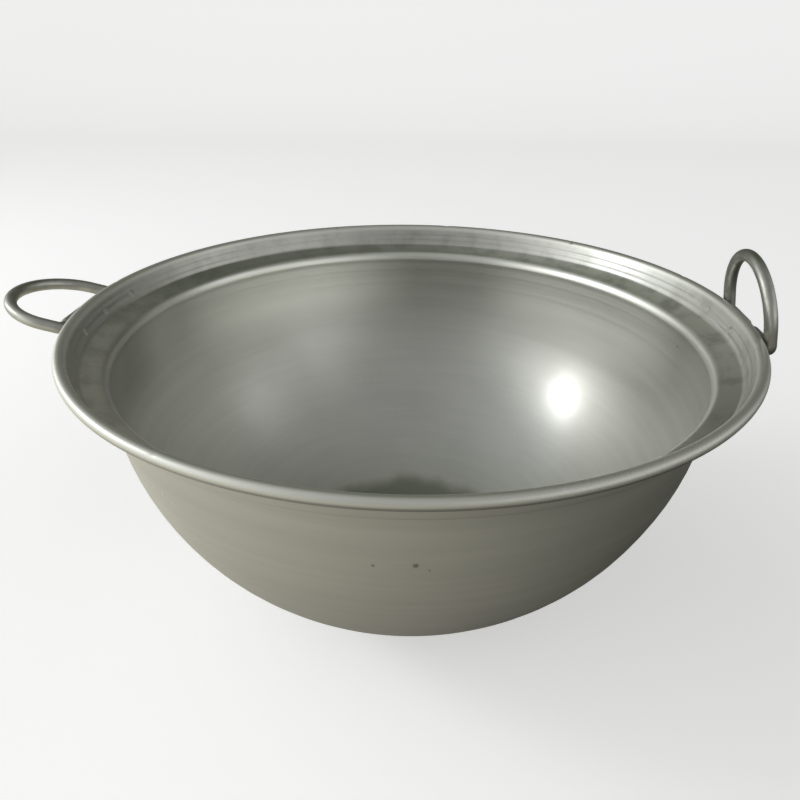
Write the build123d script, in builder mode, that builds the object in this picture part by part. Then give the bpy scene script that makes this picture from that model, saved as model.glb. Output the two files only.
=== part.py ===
from build123d import *
from math import asin, atan2, cos, degrees, radians, sin, tan
import os

# Open boiling pan: a round bowl with a sloping ledge, a short collar and a rolled rim, and two
# loop handles that swing on brackets riveted under the rim.
# Millimetres. The origin is the centre of the flat that the pan stands on, +Z is up, and the
# handles are on the X axis. Sections are drawn as (radius, height).

# Pan
RIM_DIAMETER = 700.0  # over the rolled rim
RIM_HEIGHT = 330.0  # centre of the rolled rim above the floor
SHEET = 3.0  # wall thickness
BEAD_RADIUS = 5.5  # outside of the rolled rim
BEAD_GAP_ANGLE = 70.0  # part of the roll left open, between its edge and the collar
COLLAR_FOOT_RADIUS = 331.5
COLLAR_DROP = 20.0  # collar foot below the rim centre
COLLAR_BEND_RADIUS = 4.0
LEDGE_EDGE_RADIUS = 309.8
LEDGE_DROP = 27.0  # inner edge of the ledge below the rim centre
LEDGE_BEND_RADIUS = 5.0
BOWL_RADIUS = 310.0  # outside half width of the bowl
BOWL_DEPTH = 300.0  # outside half height of the ellipse that the bowl follows
BOWL_CENTRE_HEIGHT = 295.0
WIRE_CLEARANCE = 0.05

# Handles
ROD_RADIUS = 6.25
LOOP_HALF_WIDTH = 57.0  # middle of the hinge to the middle of a leg
LOOP_LEG = 20.5  # hinge axis to the end of each leg's straight part
ELBOW_RADIUS = 6.5  # at the rod's middle, where a leg turns in to its foot
FOOT_RADIUS = 5.0  # turned-in foot that runs in the knuckle
FOOT_END = 14.0  # inner end of each foot, from the middle of the hinge
FOOT_CHAMFER = 0.8
HINGE_RADIUS = 354.0  # hinge axis from the pan's axis
HINGE_HEIGHT = RIM_HEIGHT - 9.5
LEFT_LIFT = 13.0  # left handle above the horizontal
RIGHT_LIFT = 100.5  # right handle, leaning in past the vertical

# Hinge brackets
KNUCKLE_RADIUS = 7.5
KNUCKLE_INNER = 10.0  # ends of each knuckle, from the middle of the hinge
KNUCKLE_OUTER = 50.1
KNUCKLE_CHAMFER = 0.8
FOOT_CLEARANCE = 0.08
PLATE_THICKNESS = 4.0
PLATE_BOTTOM = 312.5
PLATE_TOP = 323.5
PLATE_HALF_LENGTH = 70.0
PLATE_CORNER_RADIUS = 3.0
WEB_BOTTOM = 313.5
WEB_TOP = 320.0
WEB_SETBACK = 1.5  # webs stop short of the knuckles' ends

# Rivets
RIVET_RADIUS = 2.5
RIVET_CLEARANCE = 0.05
RIVET_HEAD_RADIUS = 4.5
RIVET_HEAD_HEIGHT = 2.2
RIVET_SINK_RADIUS = 4.3  # inner head, sunk into the collar's inner face
RIVET_CROWN = 0.3  # rise of the inner head above that face
RIVET_SINK_ANGLE = 90.0
RIVET_OFFSETS = (-60.0, 0.0, 60.0)  # along the hinge
RIVET_HEIGHT = 318.2  # at the collar's outer face

LEFT = 180.0  # azimuths of the handles
RIGHT = 0.0

# Points of the pan's inner face, and the collar's slope, which several pieces share
rim_centre = Vector(RIM_DIAMETER / 2 - BEAD_RADIUS, RIM_HEIGHT)
collar_foot = Vector(COLLAR_FOOT_RADIUS, RIM_HEIGHT - COLLAR_DROP)
ledge_edge = Vector(LEDGE_EDGE_RADIUS, RIM_HEIGHT - LEDGE_DROP)
bowl_top = Vector(BOWL_RADIUS - SHEET, BOWL_CENTRE_HEIGHT)

# The collar leans outward, so that it runs tangent into the roll of the rim
rim_reach = rim_centre - collar_foot
collar_lean = atan2(rim_reach.X, rim_reach.Y) - asin(BEAD_RADIUS / rim_reach.length)
collar_normal = Vector(cos(collar_lean), -sin(collar_lean))


def outward_normal(start, end):
    """Unit vector from a sheet's inner face to its outer face, for a leg drawn upward."""
    run = (end - start).normalized()
    return Vector(run.Y, -run.X)


def sheet_corner(point, normal_a, normal_b):
    """Outer corner of a bend whose inner corner is point, from its legs' outward normals."""
    return point + (normal_a + normal_b) * (SHEET / (1 + normal_a.dot(normal_b)))


def collar_outer_radius(height):
    """Radius of the collar's outer face at a height."""
    foot = collar_foot + collar_normal * SHEET
    return foot.X + (height - foot.Y) * tan(collar_lean)


def radial_plane(azimuth):
    """Upright plane through the pan's axis: local x is outward at the azimuth, local y is up."""
    turn = radians(azimuth)
    return Plane((0, 0, 0), x_dir=(cos(turn), sin(turn), 0), z_dir=(sin(turn), -cos(turn), 0))


def bowl_flat_radius(half_width, half_height, height):
    """Radius at which the bowl's ellipse meets a flat floor at a height."""
    return half_width * (1 - ((BOWL_CENTRE_HEIGHT - height) / half_height) ** 2) ** 0.5


def bowl_arc(half_width, half_height, height):
    """Elliptical arc from the flat floor at a height up to the bowl's widest point."""
    start_angle = -degrees(asin((BOWL_CENTRE_HEIGHT - height) / half_height))
    return EllipticalCenterArc(
        (0, BOWL_CENTRE_HEIGHT), half_width, half_height, start_angle, arc_size=-start_angle
    )


def rivet_planes(side):
    """Planes of a bracket's rivets: origin on the collar's inner face, local z inward."""
    planes = []
    for offset in RIVET_OFFSETS:
        outer_radius = collar_outer_radius(RIVET_HEIGHT)
        section = radial_plane(side + degrees(asin(offset / outer_radius)))
        inner_point = Vector(outer_radius, RIVET_HEIGHT) - collar_normal * SHEET
        inward = section.x_dir * -collar_normal.X + section.y_dir * -collar_normal.Y
        planes.append(Plane(section.from_local_coords(inner_point), x_dir=section.z_dir, z_dir=inward))
    return planes


def build_pot_shell():
    """The spun sheet: bowl with a small standing flat, ledge, collar and rolled rim."""
    roll_start = 180 - degrees(collar_lean)
    roll_sweep = -(360 - BEAD_GAP_ANGLE)
    ledge_normal = outward_normal(ledge_edge, collar_foot)
    wall_normal = outward_normal(bowl_top, ledge_edge)
    outer_foot = sheet_corner(collar_foot, ledge_normal, collar_normal)
    outer_edge = sheet_corner(ledge_edge, wall_normal, ledge_normal)
    inner_size = (BOWL_RADIUS - SHEET, BOWL_DEPTH - SHEET)
    outer_size = (BOWL_RADIUS, BOWL_DEPTH)
    with BuildPart() as shell:
        with BuildSketch(Plane.XZ) as section:
            with BuildLine():
                Line((0, 0), (bowl_flat_radius(*outer_size, 0), 0))
                bowl_arc(*outer_size, 0)
                outer_roll = CenterArc(rim_centre, BEAD_RADIUS - SHEET, roll_start, roll_sweep)
                Polyline((BOWL_RADIUS, BOWL_CENTRE_HEIGHT), outer_edge, outer_foot, outer_roll @ 0)
                inner_roll = CenterArc(rim_centre, BEAD_RADIUS, roll_start, roll_sweep)
                Line(outer_roll @ 1, inner_roll @ 1)
                Polyline(inner_roll @ 0, collar_foot, ledge_edge, bowl_top)
                bowl_arc(*inner_size, SHEET)
                Polyline((bowl_flat_radius(*inner_size, SHEET), SHEET), (0, SHEET), (0, 0))
            make_face()
            bends = (
                (collar_foot, COLLAR_BEND_RADIUS),
                (outer_foot, COLLAR_BEND_RADIUS + SHEET),
                (ledge_edge, LEDGE_BEND_RADIUS + SHEET),
                (outer_edge, LEDGE_BEND_RADIUS),
            )
            for corner, radius in bends:
                fillet(section.vertices().sort_by_distance(corner)[0], radius)
        revolve(axis=Axis.Z)
        for side in (LEFT, RIGHT):
            with Locations(*rivet_planes(side)):
                CounterSinkHole(
                    RIVET_RADIUS + RIVET_CLEARANCE,
                    RIVET_SINK_RADIUS + RIVET_CLEARANCE,
                    depth=SHEET + PLATE_THICKNESS,
                    counter_sink_angle=RIVET_SINK_ANGLE,
                )
    return shell


def build_rim_wire():
    """The wire that the rim is rolled around."""
    with BuildPart() as wire:
        with Locations((0, 0, RIM_HEIGHT)):
            Torus(rim_centre.X, BEAD_RADIUS - SHEET - WIRE_CLEARANCE)
    return wire


def build_hinge_bracket(side):
    """Cast lug: a plate that follows the collar, with two knuckles held out on webs."""
    side_plane = radial_plane(side)
    half_angle = degrees(asin(PLATE_HALF_LENGTH / HINGE_RADIUS))
    outside = PLATE_THICKNESS / cos(collar_lean)
    bottom_radius = collar_outer_radius(PLATE_BOTTOM)
    top_radius = collar_outer_radius(PLATE_TOP)
    bore_radius = FOOT_RADIUS + FOOT_CLEARANCE
    with BuildPart() as bracket:
        for end in (-1, 1):
            with BuildSketch(side_plane.offset(end * KNUCKLE_INNER)):
                with Locations((HINGE_RADIUS, HINGE_HEIGHT)):
                    Circle(KNUCKLE_RADIUS)
            extrude(amount=end * (KNUCKLE_OUTER - KNUCKLE_INNER))
        chamfer(bracket.edges().filter_by(GeomType.CIRCLE), KNUCKLE_CHAMFER)
        for end in (-1, 1):
            with BuildSketch(side_plane.offset(end * (KNUCKLE_INNER + WEB_SETBACK))):
                with BuildLine():
                    Polyline(
                        (bottom_radius - outside, WEB_BOTTOM),
                        (HINGE_RADIUS, WEB_BOTTOM),
                        (HINGE_RADIUS, WEB_TOP),
                        (bottom_radius - outside, WEB_TOP),
                        close=True,
                    )
                make_face()
            extrude(amount=end * (KNUCKLE_OUTER - KNUCKLE_INNER - 2 * WEB_SETBACK))
        with BuildSketch(side_plane.offset(-PLATE_HALF_LENGTH)):
            with Locations((HINGE_RADIUS, HINGE_HEIGHT)):
                Circle(bore_radius)
        extrude(amount=2 * PLATE_HALF_LENGTH, mode=Mode.SUBTRACT)
        with BuildSketch(radial_plane(side - half_angle)):
            with BuildLine():
                Polyline(
                    (bottom_radius, PLATE_BOTTOM),
                    (bottom_radius + outside, PLATE_BOTTOM),
                    (top_radius + outside, PLATE_TOP),
                    (top_radius, PLATE_TOP),
                    close=True,
                )
            make_face()
        revolve(axis=Axis.Z, revolution_arc=2 * half_angle)
        with BuildSketch(side_plane):
            with BuildLine():
                Polyline(
                    (HINGE_RADIUS / 2, PLATE_BOTTOM),
                    (bottom_radius, PLATE_BOTTOM),
                    (top_radius, PLATE_TOP),
                    (HINGE_RADIUS / 2, PLATE_TOP),
                    close=True,
                )
            make_face()
        revolve(axis=Axis.Z, mode=Mode.SUBTRACT)
        straight_edges = bracket.edges().filter_by(GeomType.LINE)
        corners = straight_edges.filter_by(lambda edge: abs(edge.length - outside) < 0.01)
        fillet(corners, PLATE_CORNER_RADIUS)
        with Locations(*rivet_planes(side)):
            Hole(RIVET_RADIUS + RIVET_CLEARANCE, depth=SHEET + 2 * PLATE_THICKNESS)
    return bracket


def build_rivets(side):
    """Three rivets: a low inner head sunk into the collar, a shank and a domed outer head."""
    grip = SHEET + PLATE_THICKNESS
    sink_depth = (RIVET_SINK_RADIUS - RIVET_RADIUS) / tan(radians(RIVET_SINK_ANGLE / 2))
    with BuildPart() as rivets:
        for plane in rivet_planes(side):
            with BuildSketch(Plane(plane.origin, x_dir=plane.x_dir, z_dir=plane.y_dir)):
                with BuildLine():
                    dome = TangentArc(
                        (0, grip + RIVET_HEAD_HEIGHT), (RIVET_HEAD_RADIUS, grip), tangent=(1, 0)
                    )
                    crown = TangentArc((0, -RIVET_CROWN), (RIVET_SINK_RADIUS, 0), tangent=(1, 0))
                    Polyline(
                        dome @ 1, (RIVET_RADIUS, grip), (RIVET_RADIUS, sink_depth), crown @ 1
                    )
                    Line(crown @ 0, dome @ 0)
                make_face()
            revolve(axis=Axis(plane.origin, plane.z_dir))
    return rivets


def build_handle(side, lift):
    """Round rod loop, with its feet turned in to run in the knuckles, at an angle of lift."""
    side_plane = radial_plane(side)
    hinge = side_plane.from_local_coords(Vector(HINGE_RADIUS, HINGE_HEIGHT))
    rise = side_plane.x_dir * cos(radians(lift)) + side_plane.y_dir * sin(radians(lift))
    loop_plane = Plane(hinge, x_dir=side_plane.z_dir, z_dir=side_plane.z_dir.cross(rise))
    foot_start = LOOP_HALF_WIDTH - ELBOW_RADIUS
    foot_middle = (foot_start + FOOT_END) / 2
    with BuildPart(loop_plane) as handle:
        with Locations((-foot_middle, 0, 0), (foot_middle, 0, 0)):
            Cylinder(FOOT_RADIUS, foot_start - FOOT_END, rotation=(0, 90, 0))
        foot_ends = handle.edges().filter_by(GeomType.CIRCLE).sort_by_distance(hinge)[:2]
        chamfer(foot_ends, FOOT_CHAMFER)
        with BuildLine(loop_plane) as path:
            CenterArc((foot_start, ELBOW_RADIUS), ELBOW_RADIUS, -90, 90)
            Line((LOOP_HALF_WIDTH, ELBOW_RADIUS), (LOOP_HALF_WIDTH, LOOP_LEG))
            CenterArc((0, LOOP_LEG), LOOP_HALF_WIDTH, 0, 180)
            Line((-LOOP_HALF_WIDTH, LOOP_LEG), (-LOOP_HALF_WIDTH, ELBOW_RADIUS))
            CenterArc((-foot_start, ELBOW_RADIUS), ELBOW_RADIUS, 180, 90)
        with BuildSketch(Plane(path.line @ 0, z_dir=path.line % 0)):
            Circle(ROD_RADIUS)
        sweep(path=path.line)
    return handle


def save(piece, name):
    """Label a finished piece and write its STEP file."""
    piece.part.label = name
    export_step(piece.part, f"parts/{name}.step")


os.makedirs("parts", exist_ok=True)
save(build_pot_shell(), "pot_shell")
save(build_rim_wire(), "rim_wire")
for name, side, lift in (("left", LEFT, LEFT_LIFT), ("right", RIGHT, RIGHT_LIFT)):
    save(build_hinge_bracket(side), f"{name}_hinge_bracket")
    save(build_rivets(side), f"{name}_rivets")
    save(build_handle(side, lift), f"{name}_handle")
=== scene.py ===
import math

import bpy
import numpy as np
from mathutils import Matrix, Vector


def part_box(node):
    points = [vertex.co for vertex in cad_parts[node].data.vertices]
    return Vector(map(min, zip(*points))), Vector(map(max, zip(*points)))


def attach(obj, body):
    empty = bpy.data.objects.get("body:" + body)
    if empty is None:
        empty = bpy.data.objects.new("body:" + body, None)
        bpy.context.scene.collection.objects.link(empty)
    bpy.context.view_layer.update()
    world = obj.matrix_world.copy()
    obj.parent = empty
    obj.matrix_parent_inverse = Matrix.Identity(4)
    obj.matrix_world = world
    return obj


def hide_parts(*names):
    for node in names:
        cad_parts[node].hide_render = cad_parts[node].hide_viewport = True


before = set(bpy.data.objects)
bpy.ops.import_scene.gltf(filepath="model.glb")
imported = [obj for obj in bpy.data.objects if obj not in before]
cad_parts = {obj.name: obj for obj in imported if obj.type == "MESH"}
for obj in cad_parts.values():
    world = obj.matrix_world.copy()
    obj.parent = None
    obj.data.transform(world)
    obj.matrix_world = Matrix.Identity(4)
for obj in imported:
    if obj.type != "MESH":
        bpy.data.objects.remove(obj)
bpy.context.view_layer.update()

# An open boiling pan of spun aluminium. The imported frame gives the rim's radius and height; the
# rest of the section repeats the part's own sizes. The sheet is built again here as a finer lathe
# mesh, with its turned ridges, dents and nicks. Metres, as in the frame. Azimuths are in degrees
# from +X.
MM = 0.001
shell_low, shell_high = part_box("pot_shell")

# Section of the sheet, as (radius, height) on the inner face
SHEET = 3 * MM
BEAD_RADIUS = 5.5 * MM
BEAD_GAP = math.radians(70)
RIM_RADIUS = shell_high.x
RIM_HEIGHT = shell_high.z - BEAD_RADIUS
RIM_CENTRE = Vector((RIM_RADIUS - BEAD_RADIUS, RIM_HEIGHT))
COLLAR_FOOT = Vector((331.5 * MM, RIM_HEIGHT - 20 * MM))
COLLAR_BEND = 4 * MM
LEDGE_EDGE = Vector((309.8 * MM, RIM_HEIGHT - 27 * MM))
LEDGE_BEND = 5 * MM
BOWL_HEIGHT = 295 * MM  # of the bowl's widest circle
BOWL_RADIUS = 310 * MM  # outside half width there
BOWL_DEPTH = 300 * MM  # outside half height of its ellipse

# Mesh of the sheet
TURN_STEPS = 500
BOWL_STEPS = 28
BOWL_TOP = math.radians(9)  # upper part of the inner bowl, which has ridges and finer steps
BOWL_TOP_STEPS = 26
FLAT_STEPS = 4
LEG_STEPS = 4
LEDGE_STEPS = 8
COLLAR_STEPS = 14
BEND_STEPS = 4
BEAD_STEPS = 24
ROLL_STEPS = 6
SHARP_ANGLE = math.radians(40)  # steeper creases are shaded sharp

# Ridges left by the spinning tool on the inner face: height below the rim, rise, half width
RIDGES = (
    (4.8 * MM, 0.16 * MM, 0.9 * MM),
    (8.2 * MM, -0.24 * MM, 1.0 * MM),
    (12.0 * MM, 0.20 * MM, 1.1 * MM),
    (15.6 * MM, -0.20 * MM, 1.0 * MM),
    (24.0 * MM, 0.12 * MM, 0.6 * MM),
    (36.0 * MM, 0.22 * MM, 1.7 * MM),
    (41.5 * MM, -0.10 * MM, 1.6 * MM),
    (50.0 * MM, 0.12 * MM, 1.8 * MM),
    (56.0 * MM, 0.06 * MM, 1.7 * MM),
    (69.0 * MM, 0.09 * MM, 2.2 * MM),
)

# Out of round: how many lobes, how high in millimetres, phase in radians
LOBES = ((2, 0.35, 0.6), (3, 0.2, -1.1), (5, 0.12, 0.0))

# Dents: azimuth, depth below the bowl's widest circle, how far it is pushed in, its width
DENTS = (
    (-128, 40 * MM, -0.5 * MM, 24 * MM),
    (-40, 110 * MM, 0.5 * MM, 28 * MM),
    (12, 60 * MM, 0.4 * MM, 22 * MM),
    (63, 90 * MM, 0.5 * MM, 26 * MM),
    (118, 30 * MM, 0.3 * MM, 18 * MM),
    (158, 130 * MM, -0.5 * MM, 30 * MM),
    (-160, 95 * MM, 0.4 * MM, 20 * MM),
)

# Nicks in the rim: azimuth and place round the roll, how deep the nick is, its width
NICKS = (
    (111, 120, 0.7 * MM, 1.8 * MM),
    (84, 75, 0.8 * MM, 2.0 * MM),
    (22, 65, 0.7 * MM, 1.8 * MM),
    (52, 130, 0.6 * MM, 1.6 * MM),
    (-13, 150, 0.6 * MM, 1.6 * MM),
    (171, 60, 0.5 * MM, 1.8 * MM),
    (-118, 70, 0.3 * MM, 2.4 * MM),
    (-70, 20, 0.3 * MM, 2.2 * MM),
)
NICK_TURNS = (-0.5, -0.25, 0, 0.25, 0.5)  # extra steps of the mesh at each nick

# Small dark marks: azimuth, radius, height, size
MARKS = (
    (111, 344.5 * MM, RIM_HEIGHT + 4.5 * MM, 2.2 * MM),
    (84, 345.5 * MM, RIM_HEIGHT + 5 * MM, 2.4 * MM),
    (22, 346 * MM, RIM_HEIGHT + 5 * MM, 2.4 * MM),
    (52, 341 * MM, RIM_HEIGHT + 4 * MM, 1.6 * MM),
    (-86, 305.6 * MM, 244.7 * MM, 2.6 * MM),
    (-92, 305.3 * MM, 243 * MM, 1.4 * MM),
    (-84, 305.0 * MM, 239 * MM, 1.2 * MM),
    (9, 306.5 * MM, 278 * MM, 1.8 * MM),
    (-121, 341 * MM, RIM_HEIGHT - 6 * MM, 2.2 * MM),
)


def unit(vector):
    return vector / vector.length


def arc(centre, radii, start, sweep, steps):
    """Points of an elliptical arc in the section."""
    points = []
    for step in range(steps + 1):
        angle = start + sweep * step / steps
        points.append(centre + Vector((radii[0] * math.cos(angle), radii[1] * math.sin(angle))))
    return points


def bend(before, corner, after, radius):
    """Points that round a corner of the section."""
    arm_a = unit(before - corner)
    arm_b = unit(after - corner)
    half = arm_a.angle(arm_b) / 2
    centre = corner + unit(arm_a + arm_b) * (radius / math.sin(half))
    spoke_a = corner + arm_a * (radius / math.tan(half)) - centre
    spoke_b = corner + arm_b * (radius / math.tan(half)) - centre
    start = math.atan2(spoke_a.y, spoke_a.x)
    sweep = math.remainder(math.atan2(spoke_b.y, spoke_b.x) - start, math.tau)
    return arc(centre, (radius, radius), start, sweep, BEND_STEPS)


def leg(start, end, steps):
    """Points strictly between two points of the section."""
    return [start.lerp(end, step / steps) for step in range(1, steps)]


def outward_normal(start, end):
    """Unit vector from the sheet's inner face to its outer face, for a leg drawn upward."""
    run = unit(end - start)
    return Vector((run.y, -run.x))


def outer_corner(point, normal_a, normal_b):
    """Where the outer faces of two legs meet, whose inner faces meet at point."""
    return point + (normal_a + normal_b) * (SHEET / (1 + normal_a.dot(normal_b)))


def bowl_points(radii, floor, top=0.0, top_steps=0):
    """Flat and bowl, from the axis up to the bowl's widest circle, with finer steps at the top."""
    middle = Vector((0, BOWL_HEIGHT))
    start = -math.asin((BOWL_HEIGHT - floor) / radii[1])
    wall = arc(middle, radii, start, -start - top, BOWL_STEPS)
    if top_steps:
        wall += arc(middle, radii, -top, top, top_steps)[1:]
    centre = Vector((0, floor))
    return [centre] + leg(centre, wall[0], FLAT_STEPS) + wall


def ridged(points):
    """Inner face with the spinning tool's ridges."""
    shifted = []
    for before, point, after in zip(points, points[1:], points[2:]):
        drop = RIM_HEIGHT - point.y
        rise = sum(lift * math.exp(-((drop - place) / width) ** 2) for place, lift, width in RIDGES)
        shifted.append(point - outward_normal(before, after) * rise)
    return points[:1] + shifted + points[-1:]


def sheet_section():
    """Closed section of the sheet, from the axis up the inside, round the roll and down the outside."""
    reach = RIM_CENTRE - COLLAR_FOOT
    lean = math.atan2(reach.x, reach.y) - math.asin(BEAD_RADIUS / reach.length)
    collar_normal = Vector((math.cos(lean), -math.sin(lean)))
    inner_bowl = bowl_points((BOWL_RADIUS - SHEET, BOWL_DEPTH - SHEET), SHEET, BOWL_TOP, BOWL_TOP_STEPS)
    outer_bowl = bowl_points((BOWL_RADIUS, BOWL_DEPTH), 0)
    ledge_normal = outward_normal(LEDGE_EDGE, COLLAR_FOOT)
    wall_normal = outward_normal(inner_bowl[-1], LEDGE_EDGE)
    outer_foot = outer_corner(COLLAR_FOOT, ledge_normal, collar_normal)
    outer_edge = outer_corner(LEDGE_EDGE, wall_normal, ledge_normal)
    inside = BEAD_RADIUS - SHEET
    sweep = BEAD_GAP - math.tau
    roll = arc(RIM_CENTRE, (BEAD_RADIUS, BEAD_RADIUS), math.pi - lean, sweep, BEAD_STEPS)
    core = arc(RIM_CENTRE, (inside, inside), math.pi - lean, sweep, ROLL_STEPS)
    inner_edge_bend = bend(inner_bowl[-1], LEDGE_EDGE, COLLAR_FOOT, LEDGE_BEND + SHEET)
    inner_foot_bend = bend(LEDGE_EDGE, COLLAR_FOOT, roll[0], COLLAR_BEND)
    outer_foot_bend = bend(core[0], outer_foot, outer_edge, COLLAR_BEND + SHEET)
    outer_edge_bend = bend(outer_foot, outer_edge, outer_bowl[-1], LEDGE_BEND)
    inner = inner_bowl + inner_edge_bend
    inner += leg(inner_edge_bend[-1], inner_foot_bend[0], LEDGE_STEPS) + inner_foot_bend
    inner += leg(inner_foot_bend[-1], roll[0], COLLAR_STEPS)
    outer = core[::-1] + leg(core[0], outer_foot_bend[0], LEG_STEPS) + outer_foot_bend
    outer += leg(outer_foot_bend[-1], outer_edge_bend[0], LEG_STEPS) + outer_edge_bend
    return ridged(inner) + roll + outer + outer_bowl[::-1]


def on_pan(azimuth, radius, height):
    """Point at an azimuth in degrees from +X, a radius and a height."""
    turn = math.radians(azimuth)
    return Vector((radius * math.cos(turn), radius * math.sin(turn), height))


def direction(azimuth, elevation):
    """Unit vector at an azimuth and an elevation in degrees."""
    tilt = math.radians(elevation)
    return on_pan(azimuth, math.cos(tilt), math.sin(tilt))


def dent(points, centre, push, depth, width):
    """Pushes points near centre along push."""
    gap = points - np.array(centre)
    fall = np.exp(-(gap ** 2).sum(axis=1) / (2 * width ** 2))
    return points + fall[:, None] * np.array(push) * depth


def lathe(section):
    """Mesh of a closed section turned about Z, whose first and last points are on the axis."""
    ring = np.array([tuple(point) for point in section[1:-1]])
    turns = {360 * step / TURN_STEPS for step in range(TURN_STEPS)}
    turns |= {(nick[0] + extra) % 360 for nick in NICKS for extra in NICK_TURNS}
    turns = np.radians(sorted(turns))
    steps = len(turns)
    x = np.outer(np.cos(turns), ring[:, 0])
    y = np.outer(np.sin(turns), ring[:, 0])
    z = np.tile(ring[:, 1], (steps, 1))
    points = np.stack((x, y, z), axis=-1).reshape(-1, 3)
    poles = np.array([(0, 0, section[0].y), (0, 0, section[-1].y)])
    count = len(ring)
    faces = []
    for i in range(steps):
        here, there = i * count, (i + 1) % steps * count
        faces.append((steps * count, here, there))
        faces.append((steps * count + 1, there + count - 1, here + count - 1))
        for j in range(count - 1):
            faces.append((here + j, here + j + 1, there + j + 1, there + j))
    return np.concatenate((points, poles)), faces


def wear(points):
    """The pan is a little out of round away from its brackets, with shallow dents and nicks."""
    turn = np.arctan2(points[:, 1], points[:, 0])
    wave = sum(rise * np.cos(count * turn + phase) for count, rise, phase in LOBES)
    stretch = 1 + wave * np.sin(turn) ** 2 * points[:, 2] / RIM_HEIGHT * MM / RIM_RADIUS
    points = points * np.stack((stretch, stretch, np.ones(len(points))), axis=-1)
    for azimuth, drop, depth, width in DENTS:
        reach = BOWL_RADIUS * math.sqrt(1 - (drop / BOWL_DEPTH) ** 2)
        centre = on_pan(azimuth, reach, BOWL_HEIGHT - drop)
        inward = -unit(Vector((centre.x, centre.y, centre.z - BOWL_HEIGHT)))
        points = dent(points, centre, inward, depth, width)
    for azimuth, lift, depth, width in NICKS:
        out = direction(azimuth, lift)
        centre = on_pan(azimuth, RIM_CENTRE.x, RIM_CENTRE.y) + out * BEAD_RADIUS
        points = dent(points, centre, -out, depth, width)
    return points


def build_shell():
    """The spun sheet as one fine mesh, in place of the CAD node."""
    points, faces = lathe(sheet_section())
    mesh = bpy.data.meshes.new("spun_pan")
    mesh.from_pydata(wear(points).tolist(), [], faces)
    mesh.shade_smooth()
    mesh.set_sharp_from_angle(angle=SHARP_ANGLE)
    shell = bpy.data.objects.new("spun_pan", mesh)
    bpy.context.scene.collection.objects.link(shell)
    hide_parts("pot_shell")
    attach(shell, "pan")
    return shell


class Graph:
    """A node tree under construction. Each method adds a node and gives its output socket."""

    def __init__(self, tree):
        self.tree = tree
        self.tree.nodes.clear()

    def add(self, kind, inputs, **settings):
        node = self.tree.nodes.new(kind)
        for key, value in settings.items():
            setattr(node, key, value)
        for key, value in inputs.items():
            if isinstance(value, bpy.types.NodeSocket):
                self.tree.links.new(value, node.inputs[key])
            else:
                node.inputs[key].default_value = value
        return node

    def maths(self, operation, *values):
        return self.add("ShaderNodeMath", dict(enumerate(values)), operation=operation).outputs[0]

    def times(self, product, *factors):
        """Product of two or more values."""
        for factor in factors:
            product = self.maths("MULTIPLY", product, factor)
        return product

    def plus(self, total, *terms):
        """Sum of two or more values."""
        for term in terms:
            total = self.maths("ADD", total, term)
        return total

    def between(self, operation, a, b):
        """Vector maths on two vectors."""
        return self.add("ShaderNodeVectorMath", {0: a, 1: b}, operation=operation)

    def place(self):
        return self.add("ShaderNodeTexCoord", {}).outputs["Object"]

    def parts(self, place):
        return self.add("ShaderNodeSeparateXYZ", {0: place}).outputs

    def radius(self, place):
        """Distance from the pan's axis."""
        flat = self.between("MULTIPLY", place, (1, 1, 0)).outputs[0]
        return self.add("ShaderNodeVectorMath", {0: flat}, operation="LENGTH").outputs["Value"]

    def facing(self, place, azimuth, low, high, share=1.0):
        """Grows from 0 to share as the cosine of the angle from azimuth goes from low to high."""
        flat = self.between("MULTIPLY", place, (1, 1, 0)).outputs[0]
        aim = self.add("ShaderNodeVectorMath", {0: flat}, operation="NORMALIZE").outputs[0]
        cosine = self.between("DOT_PRODUCT", aim, direction(azimuth, 0)).outputs["Value"]
        return self.span(cosine, low, high, 0, share)

    def noise(self, place, scale, detail=3.0, roughness=0.5):
        inputs = {"Vector": place, "Scale": scale, "Detail": detail, "Roughness": roughness}
        return self.add("ShaderNodeTexNoise", inputs).outputs["Fac"]

    def ring_noise(self, place, scale, along, detail=2.0, roughness=0.5):
        """Noise drawn out round the pan's axis: scale is across the rings, along is round them."""
        radius = self.radius(place)
        x, y, z = self.parts(place)
        safe = self.maths("MAXIMUM", radius, MM)
        turn_x = self.times(self.maths("DIVIDE", x, safe), along)
        turn_y = self.times(self.maths("DIVIDE", y, safe), along)
        outward = self.times(radius, scale)
        spot = self.add("ShaderNodeCombineXYZ", {0: turn_x, 1: turn_y, 2: outward}).outputs[0]
        inputs = {"Vector": spot, "W": self.times(z, scale), "Scale": 1.0,
                  "Detail": detail, "Roughness": roughness}
        return self.add("ShaderNodeTexNoise", inputs, noise_dimensions="4D").outputs["Fac"]

    def span(self, value, low, high, to_low=0.0, to_high=1.0):
        inputs = {"Value": value, "From Min": low, "From Max": high, "To Min": to_low, "To Max": to_high}
        return self.add("ShaderNodeMapRange", inputs, interpolation_type="SMOOTHSTEP").outputs[0]

    def blend(self, share, colour_a, colour_b):
        inputs = {0: share, 6: colour_a, 7: colour_b}
        return self.add("ShaderNodeMix", inputs, data_type="RGBA").outputs[2]

    def bump(self, height, strength, distance, normal=None):
        inputs = {"Height": height, "Strength": strength, "Distance": distance}
        if normal is not None:
            inputs["Normal"] = normal
        return self.add("ShaderNodeBump", inputs).outputs[0]


def new_material(name):
    material = bpy.data.materials.new(name)
    material.use_nodes = True
    return material, Graph(material.node_tree)


def set_surface(graph, **inputs):
    """One metal surface as the material's output."""
    settings = {key.replace("_", " "): value for key, value in inputs.items()}
    shader = graph.add("ShaderNodeBsdfPrincipled", settings)
    graph.add("ShaderNodeOutputMaterial", {"Surface": shader.outputs[0]})


def grey(value):
    return (value, value, value, 1)


def metal(value):
    """Aluminium dulled by use: grey with a little less blue."""
    return (value, value * 1.01, value * 0.92, 1)


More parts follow.
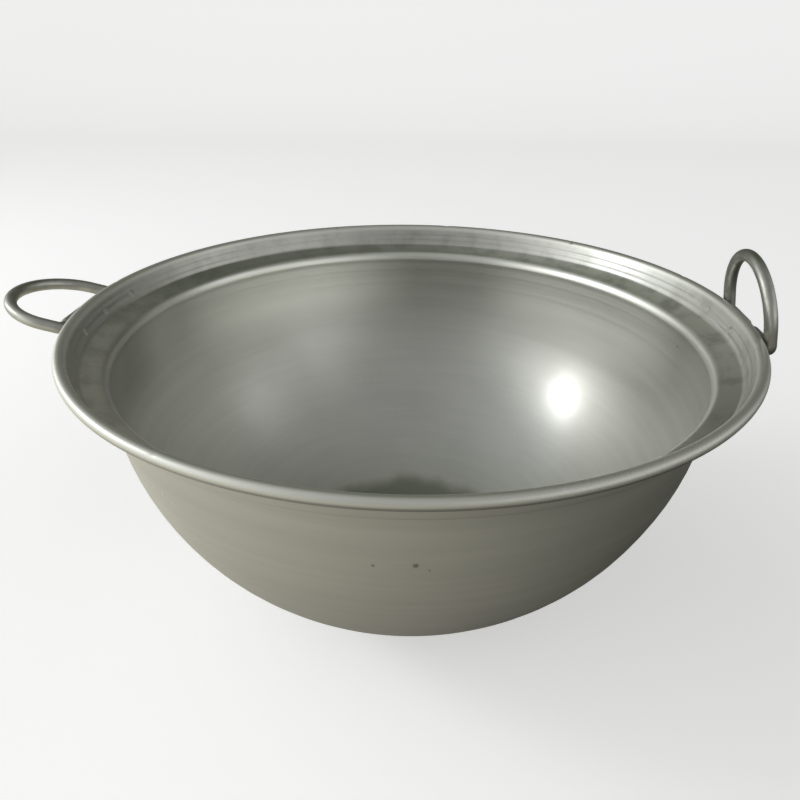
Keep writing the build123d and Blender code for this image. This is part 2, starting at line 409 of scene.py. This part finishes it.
# Zones of the sheet: how far below the rim each starts, and how far below it is full
RIM_ZONE = (3 * MM, -1.5 * MM)
COLLAR_ZONE = (30 * MM, 24 * MM)  # collar and ledge together
LEDGE_ZONE = (18 * MM, 21 * MM)
BOWL_ZONE = (27 * MM, 33 * MM)
UPPER_WALL_ZONE = (130 * MM, 70 * MM)  # upper wall, where the sheen and shade sectors lie
# Painted shade on the lower outside of the roll lies between these two heights
ROLL_SHADE_FOOT = (10 * MM, 7 * MM)
ROLL_SHADE_TOP = (-0.2 * MM, 2.2 * MM)

# Painted shade on the outside under the roll, as distances inward from the rim's edge
ROLL_SHADE_REACH = (12 * MM, 10.5 * MM)

# Darker, greener bottom, stronger inside: radius where it starts and where it is full, and how far its edge
# wanders
BOTTOM_DARKENING_REACH = (144 * MM, 118 * MM)
BOTTOM_DARKENING_WANDER = 4 * MM

# Sectors of the sheet: azimuth, cosine from it where the sector starts and is full, strength
# Lighter upper bowl in these two sectors: partly rubbed metal, partly painted sheen from the glow round the
# window's reflection
RUBBED_AND_SHEEN_SECTORS = ((40, 0.82, 0.985, 1.0), (127, 0.80, 0.985, 1.0))
# Painted light on the ledge: lighter on the right, which faces the window, and half as much on the near left
PAINTED_LEDGE_LIGHT_SECTORS = ((28, 0.45, 0.97, 1.0), (208, 0.5, 1.0, 0.5))
# Darker left inner wall and collar, off the ledge: dull oxide and painted shade, as this side faces away from
# the window
OXIDE_AND_SHADE_SECTOR = (199, 0.87, 0.985, 0.55)

# Colours on the sheet
# Lighter metal of those sectors: rubbed metal and painted sheen
RUBBED_AND_SHEEN = metal(0.85)
# Painted light on the ledge
PAINTED_LEDGE_LIGHT = metal(0.80)
POLISHED_RIM = metal(0.62)
LIGHT_BAND = metal(0.55)
DARK_BAND = metal(0.50)
CLOUD = metal(0.48)
GREY_COLLAR = metal(0.38)
# Dark of the marks, and painted shade under the roll
DIRT_AND_SHADE = metal(0.12)
WATER_FILM = (0.27, 0.275, 0.225, 1)
# Darker, greener bottom
BOTTOM_DARKENING = (0.155, 0.17, 0.105, 1)
# Dark of that sector: oxide and painted shade
OXIDE_AND_PAINTED_SHADE = (0.10, 0.105, 0.075, 1)


def below_rim(graph, height, zone):
    """Share of a zone, from its two distances below the rim."""
    return graph.span(height, RIM_HEIGHT - zone[0], RIM_HEIGHT - zone[1])


def sheet_zones(graph, place):
    """Shares of the zones of the sheet, by name."""
    height = graph.parts(place)[2]
    radius = graph.radius(place)
    normal = graph.add("ShaderNodeNewGeometry", {}).outputs["Normal"]
    flat = graph.between("MULTIPLY", place, (1, 1, 0)).outputs[0]
    outward = graph.between("DOT_PRODUCT", normal, flat).outputs["Value"]
    inner = graph.span(outward, 0.03, -0.03)
    collar = graph.times(below_rim(graph, height, COLLAR_ZONE), inner)
    under_roll = graph.times(below_rim(graph, height, ROLL_SHADE_FOOT), below_rim(graph, height, ROLL_SHADE_TOP))
    outside = graph.span(radius, RIM_RADIUS - ROLL_SHADE_REACH[0], RIM_RADIUS - ROLL_SHADE_REACH[1])
    wander = graph.span(graph.noise(place, 22.0, 3.0), 0.3, 0.7, -BOTTOM_DARKENING_WANDER, BOTTOM_DARKENING_WANDER)
    darker_bottom = graph.span(graph.plus(radius, wander), BOTTOM_DARKENING_REACH[0], BOTTOM_DARKENING_REACH[1])
    stronger_inside = graph.span(graph.parts(normal)[2], -0.2, 0.2, 0.3, 0.85)
    return {
        "inner": inner,
        "collar": collar,
        "ledge": graph.times(collar, below_rim(graph, height, LEDGE_ZONE)),
        "bowl": graph.times(inner, below_rim(graph, height, BOWL_ZONE)),
        "rim": below_rim(graph, height, RIM_ZONE),
        "upper_wall": below_rim(graph, height, UPPER_WALL_ZONE),
        "shade_under_roll": graph.times(under_roll, outside),
        "darker_bottom": graph.times(darker_bottom, stronger_inside),
    }


def sheet_marks(graph, place):
    """Share of the small dark marks."""
    marks = 0.0
    for azimuth, reach, level, size in MARKS:
        centre = on_pan(azimuth, reach, level)
        distance = graph.between("DISTANCE", place, centre).outputs["Value"]
        marks = graph.maths("MAXIMUM", marks, graph.span(distance, size * 1.3, size * 0.6))
    return marks


def sheet_colour(graph, place, zones, bands, clouds, marks):
    """Turned bands, with layers of wear, dirt, painted sheen and painted light and shade over them, each as
    its share and its colour.
    """
    rubbed_and_sheen = graph.maths("MAXIMUM", *(graph.facing(place, *sector) for sector in RUBBED_AND_SHEEN_SECTORS))
    # painted light on the ledge, by sector
    bright = graph.maths("MAXIMUM", *(graph.facing(place, *sector) for sector in PAINTED_LEDGE_LIGHT_SECTORS))
    off_ledge = graph.maths("SUBTRACT", 1.0, zones["ledge"])
    film = graph.span(graph.noise(place, 32.0, 4.0, 0.6), 0.42, 0.68, 0, 0.55)
    layers = (
        (graph.span(clouds, 0.5, 0.75, 0, 0.35), CLOUD),
        # rubbed metal and painted sheen on the upper bowl
        (graph.times(rubbed_and_sheen, zones["upper_wall"], zones["bowl"]), RUBBED_AND_SHEEN),
        (graph.times(zones["collar"], 0.8), GREY_COLLAR),
        # painted light on the ledge
        (graph.times(bright, zones["ledge"]), PAINTED_LEDGE_LIGHT),
        # oxide and painted shade on the left inner wall
        (graph.times(graph.facing(place, *OXIDE_AND_SHADE_SECTOR), zones["inner"], zones["upper_wall"], off_ledge), OXIDE_AND_PAINTED_SHADE),
        (graph.times(film, zones["collar"]), WATER_FILM),
        (graph.times(zones["rim"], 0.8), POLISHED_RIM),
        (zones["darker_bottom"], BOTTOM_DARKENING),
        # painted shade under the roll
        (graph.times(zones["shade_under_roll"], 0.8), DIRT_AND_SHADE),
        (graph.times(marks, 0.5), DIRT_AND_SHADE),
    )
    colour = graph.blend(graph.span(bands, 0.3, 0.7), DARK_BAND, LIGHT_BAND)
    for share, layer in layers:
        colour = graph.blend(share, colour, layer)
    return colour


def sheet_roughness(graph, place, zones, bands, clouds, marks):
    """Satin, a little rougher on the rim, in the clouds and on the marks."""
    grain = graph.noise(place, 700.0, 2.0, 0.6)
    return graph.plus(
        graph.span(bands, 0.2, 0.8, 0.45, 0.51),
        graph.span(grain, 0.3, 0.7, -0.03, 0.03),
        graph.span(clouds, 0.3, 0.8, -0.02, 0.04),
        graph.times(marks, 0.2),
        graph.times(zones["rim"], 0.04),
    )


def sheet_relief(graph, place, zones, bands):
    """Normal with fine turned lines, soft bands, and deeper lines on the collar."""
    fine = graph.ring_noise(place, 700, 2.0)
    lines = graph.ring_noise(place, 420, 0.8, 1.0)
    normal = graph.bump(fine, 0.12, 0.15 * MM)
    normal = graph.bump(bands, 0.07, 0.5 * MM, normal)
    return graph.bump(graph.times(lines, zones["collar"]), 0.5, 0.25 * MM, normal)


def spun_aluminium():
    """Spun sheet dulled by use. A sharper coat over a wide satin base gives its double gloss."""
    material, graph = new_material("spun_aluminium")
    place = graph.place()
    zones = sheet_zones(graph, place)
    bands = graph.ring_noise(place, 90, 1.2, 4.0, 0.6)
    clouds = graph.noise(place, 7.0, 4.0, 0.5)
    marks = sheet_marks(graph, place)
    rough = sheet_roughness(graph, place, zones, bands, clouds, marks)
    normal = sheet_relief(graph, place, zones, bands)
    polish = graph.maths("SUBTRACT", graph.maths("SUBTRACT", 1.0, marks), graph.times(zones["rim"], 0.45))
    tangent = graph.add("ShaderNodeTangent", {}, direction_type="RADIAL", axis="Z").outputs[0]
    set_surface(graph, Base_Color=sheet_colour(graph, place, zones, bands, clouds, marks), Metallic=0.9,
                Roughness=rough, Normal=normal, Anisotropic=0.4, Tangent=tangent, Coat_Weight=polish,
                Coat_Roughness=graph.times(rough, 0.5), Coat_IOR=2.0, Coat_Normal=normal)
    return material


def worn_rod():
    """Rod of the handles: satin, with fine grain and dull patches."""
    material, graph = new_material("worn_rod")
    place = graph.place()
    clouds = graph.noise(place, 40.0, 4.0, 0.6)
    grain = graph.noise(place, 1200.0, 2.0, 0.6)
    colour = graph.blend(graph.span(clouds, 0.35, 0.7), metal(0.45), metal(0.33))
    rough = graph.plus(graph.span(clouds, 0.3, 0.7, 0.36, 0.46), graph.span(grain, 0.3, 0.7, -0.04, 0.04))
    normal = graph.bump(grain, 0.2, 0.1 * MM)
    normal = graph.bump(clouds, 0.3, 0.6 * MM, normal)
    set_surface(graph, Base_Color=colour, Metallic=1.0, Roughness=rough, Normal=normal)
    return material


def cast_aluminium():
    """Matt casting of the brackets: coarse sand texture, grey and uneven."""
    material, graph = new_material("cast_aluminium")
    place = graph.place()
    sand = graph.noise(place, 500.0, 3.0, 0.6)
    clouds = graph.noise(place, 60.0, 4.0, 0.6)
    colour = graph.blend(graph.span(clouds, 0.35, 0.7), metal(0.36), metal(0.24))
    normal = graph.bump(sand, 0.5, 0.25 * MM)
    rough = graph.span(sand, 0.3, 0.7, 0.45, 0.62)
    set_surface(graph, Base_Color=colour, Metallic=1.0, Roughness=rough, Normal=normal)
    return material


def rivet_aluminium():
    """Soft rivet metal, close to the sheet's own colour, with hammer marks."""
    material, graph = new_material("rivet_aluminium")
    place = graph.place()
    blows = graph.noise(place, 350.0, 2.0, 0.5)
    clouds = graph.noise(place, 90.0, 3.0, 0.6)
    colour = graph.blend(graph.span(clouds, 0.35, 0.7), metal(0.58), metal(0.50))
    normal = graph.bump(blows, 0.15, 0.2 * MM)
    rough = graph.span(blows, 0.3, 0.7, 0.28, 0.38)
    set_surface(graph, Base_Color=colour, Metallic=0.9, Roughness=rough, Normal=normal)
    return material


def drawn_wire():
    """Plain steel wire, drawn bright and now dull."""
    material, graph = new_material("drawn_wire")
    place = graph.place()
    streaks = graph.ring_noise(place, 900, 3.0)
    stains = graph.noise(place, 45.0, 4.0, 0.6)
    colour = graph.blend(graph.span(stains, 0.4, 0.7), grey(0.42), (0.30, 0.25, 0.20, 1))
    normal = graph.bump(streaks, 0.3, 0.1 * MM)
    rough = graph.span(stains, 0.3, 0.7, 0.30, 0.50)
    set_surface(graph, Base_Color=colour, Metallic=1.0, Roughness=rough, Normal=normal)
    return material


def set_material(piece, material):
    piece.data.materials.clear()
    piece.data.materials.append(material)


# Stage: pale floor that curves up into a wall
FLOOR_HALF_WIDTH = 6.0
FLOOR_FRONT = -4.0
FLOOR_BACK = 3.5
COVE_RADIUS = 2.0
COVE_STEPS = 16
WALL_HEIGHT = 5.0

# Floor as the camera sees it, and as the metal does
PALE_FLOOR = 0.82
PALE_GLOW = 0.42
DIM_FLOOR = (0.12, 0.115, 0.10, 1)
WARM_LIGHT = (1.0, 0.96, 0.82, 1)
FLOOR_ROUGHNESS = 0.8
LEFT_GLOW = 0.95
RIGHT_GLOW = 0.0


def stage_material():
    """Pale where it is seen; to the metal it is a dim floor with a painted glow of window light, brighter on
    the window's side, with painted shadow round and under the pan.
    """
    material, graph = new_material("pale_floor")
    pale = graph.add("ShaderNodeBsdfPrincipled", {
        "Base Color": grey(PALE_FLOOR), "Roughness": FLOOR_ROUGHNESS,
        "Emission Color": grey(1.0), "Emission Strength": PALE_GLOW})
    place = graph.place()
    radius = graph.radius(place)
    x, y, _ = graph.parts(place)
    side = graph.maths("DIVIDE", x, graph.maths("MAXIMUM", radius, MM))
    inputs = {"Value": side, "From Min": -1.0, "From Max": 1.0, "To Min": LEFT_GLOW, "To Max": RIGHT_GLOW}
    glow = graph.add("ShaderNodeMapRange", inputs).outputs[0]
    # Painted shadow of the pan on the glowing floor, round it and under it
    shadow_beside_pan = graph.span(radius, 0.75, 1.3, 0.59, 1.0)
    shadow_under_pan = graph.span(radius, 0.10, 0.45, 0.35, 1.0)
    behind_pan = graph.span(y, 0.4, 1.5, 1.0, 0.15)
    dim = graph.add("ShaderNodeBsdfPrincipled", {
        "Base Color": DIM_FLOOR, "Roughness": FLOOR_ROUGHNESS, "Emission Color": WARM_LIGHT,
        "Emission Strength": graph.times(glow, shadow_beside_pan, shadow_under_pan, behind_pan)})
    seen = graph.add("ShaderNodeLightPath", {}).outputs["Is Camera Ray"]
    mix = graph.add("ShaderNodeMixShader", {0: seen, 1: dim.outputs[0], 2: pale.outputs[0]})
    graph.add("ShaderNodeOutputMaterial", {"Surface": mix.outputs[0]})
    return material


def build_stage():
    """Floor, cove and back wall as one smooth strip."""
    outline = [(FLOOR_FRONT, 0.0)]
    for step in range(COVE_STEPS + 1):
        angle = math.radians(90) * step / COVE_STEPS
        outline.append((FLOOR_BACK + COVE_RADIUS * math.sin(angle), COVE_RADIUS * (1 - math.cos(angle))))
    outline.append((FLOOR_BACK + COVE_RADIUS, WALL_HEIGHT))
    points = [(side * FLOOR_HALF_WIDTH, y, z) for y, z in outline for side in (-1, 1)]
    faces = [(2 * i, 2 * i + 1, 2 * i + 3, 2 * i + 2) for i in range(len(outline) - 1)]
    mesh = bpy.data.meshes.new("studio")
    mesh.from_pydata(points, [], faces)
    mesh.shade_smooth()
    studio = bpy.data.objects.new("studio", mesh)
    bpy.context.scene.collection.objects.link(studio)
    set_material(studio, stage_material())


# Window lamp, placed by azimuth and elevation from the pan
PAN_MIDDLE = Vector((0, 0, 0.2))
WINDOW_AZIMUTH = 177
WINDOW_ELEVATION = 23
WINDOW_DISTANCE = 3.0
WINDOW_WIDTH = 0.85
WINDOW_HEIGHT = 0.60
WINDOW_POWER = 20.0

# Evenly spread light of the room, and its patches: azimuth, elevation, half width, colour
ROOM_LIGHT = 0.38
ROOM_SHADE = 0.02  # the darkest that the room gets
BACKDROP = 0.85  # what the camera sees past the floor
ROOM_PATCHES = (
    (-178, 20, 32, (0.66, 0.70, 0.72)),
    (170, 4, 34, (0.55, 0.56, 0.55)),
    (-152, 8, 22, (0.90, 0.90, 0.88)),
    (117, 15, 14, (0.80, 0.80, 0.80)),
    (-40, 14, 20, (0.95, 0.95, 0.93)),
    (4, 21, 15, (1.05, 1.05, 1.03)),
    (64, 12, 38, (-0.38, -0.37, -0.39)),
    (93, 55, 30, (-0.24, -0.22, -0.27)),
    (-90, 18, 20, (-0.07, -0.07, -0.07)),
)


def build_window():
    """Soft oblong lamp low on the left, facing the pan."""
    light = bpy.data.lights.new("window", "AREA")
    light.shape = "RECTANGLE"
    light.size = WINDOW_WIDTH
    light.size_y = WINDOW_HEIGHT
    light.energy = WINDOW_POWER
    lamp = bpy.data.objects.new("window", light)
    away = direction(WINDOW_AZIMUTH, WINDOW_ELEVATION)
    lamp.location = PAN_MIDDLE + away * WINDOW_DISTANCE
    lamp.rotation_euler = away.to_track_quat("Z", "Y").to_euler()
    bpy.context.scene.collection.objects.link(lamp)


def build_world():
    """Dim room: soft patches of light and shade, each at an azimuth and elevation from the pan."""
    world = bpy.data.worlds.new("room")
    world.use_nodes = True
    graph = Graph(world.node_tree)
    sight = graph.add("ShaderNodeTexCoord", {}).outputs["Generated"]
    total = (ROOM_LIGHT,) * 3
    for azimuth, elevation, spread, colour in ROOM_PATCHES:
        facing = graph.between("DOT_PRODUCT", sight, direction(azimuth, elevation)).outputs["Value"]
        sharpness = 1 / (1 - math.cos(math.radians(spread)))
        fall = graph.maths("EXPONENT", graph.times(graph.maths("SUBTRACT", facing, 1.0), sharpness))
        patch = graph.add("ShaderNodeVectorMath", {0: colour, "Scale": fall}, operation="SCALE").outputs[0]
        total = graph.between("ADD", total, patch).outputs[0]
    total = graph.between("MAXIMUM", total, (ROOM_SHADE,) * 3).outputs[0]
    seen = graph.add("ShaderNodeLightPath", {}).outputs["Is Camera Ray"]
    background = graph.add("ShaderNodeBackground", {"Color": graph.blend(seen, total, grey(BACKDROP))})
    graph.add("ShaderNodeOutputWorld", {"Surface": background.outputs[0]})
    bpy.context.scene.world = world


# Camera: place, aim and lens
CAMERA_PLACE = Vector((33.6, -712.3, 599.7)) * MM
CAMERA_AIM = Vector((-0.05379, 0.88205, -0.46808))
CAMERA_ROLL = math.radians(0.42)
LENS = 31.93
SENSOR = 36.0


def build_camera():
    data = bpy.data.cameras.new("camera")
    data.lens = LENS
    data.sensor_width = SENSOR
    camera = bpy.data.objects.new("camera", data)
    aim = CAMERA_AIM.to_track_quat("-Z", "Y").to_matrix() @ Matrix.Rotation(CAMERA_ROLL, 3, "Z")
    camera.matrix_world = Matrix.Translation(CAMERA_PLACE) @ aim.to_4x4()
    bpy.context.scene.collection.objects.link(camera)
    bpy.context.scene.camera = camera


set_material(build_shell(), spun_aluminium())
rod = worn_rod()
casting = cast_aluminium()
rivet_metal = rivet_aluminium()
wire_metal = drawn_wire()
for name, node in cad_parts.items():
    if "handle" in name:
        set_material(node, rod)
    elif "bracket" in name:
        set_material(node, casting)
    elif "rivets" in name:
        set_material(node, rivet_metal)
    elif name == "rim_wire":
        set_material(node, wire_metal)

build_stage()
build_window()
build_world()
build_camera()
bpy.context.scene.view_settings.view_transform = "Standard"
